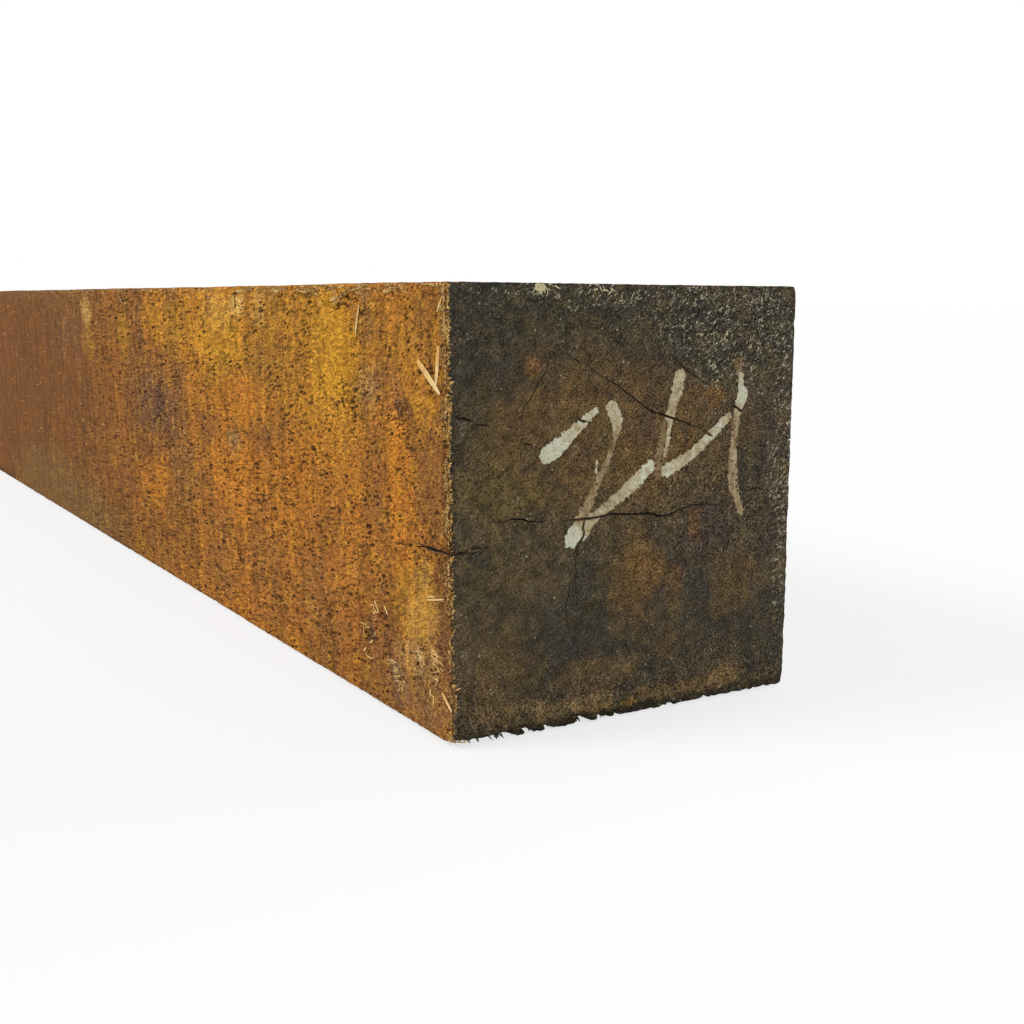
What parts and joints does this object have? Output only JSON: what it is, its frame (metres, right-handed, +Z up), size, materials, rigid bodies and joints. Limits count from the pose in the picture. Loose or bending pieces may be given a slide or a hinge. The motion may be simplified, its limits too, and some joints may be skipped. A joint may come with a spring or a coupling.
{
  "type": "hardwood post",
  "caption": "Rough-sawn square hardwood post, a solid timber for posts, bearers and sleepers, docked at both ends, with drying checks and a painted length number.",
  "frame": {"origin": "under the middle of the post, on the level that it lies on", "axes": "+X along the post to its marked end, -Y out of the long side that the picture shows, +Z up as it lies"},
  "size_m": [2.4, 0.122, 0.125],
  "materials": {
    "sawn_hardwood": "rough sawn, unplaned",
    "end_grain": "weathered end grain",
    "marking_paint": "brushed, worn, matt"
  },
  "bodies": {
    "root": {"post": "sawn_hardwood"}
  },
  "joints": []
}
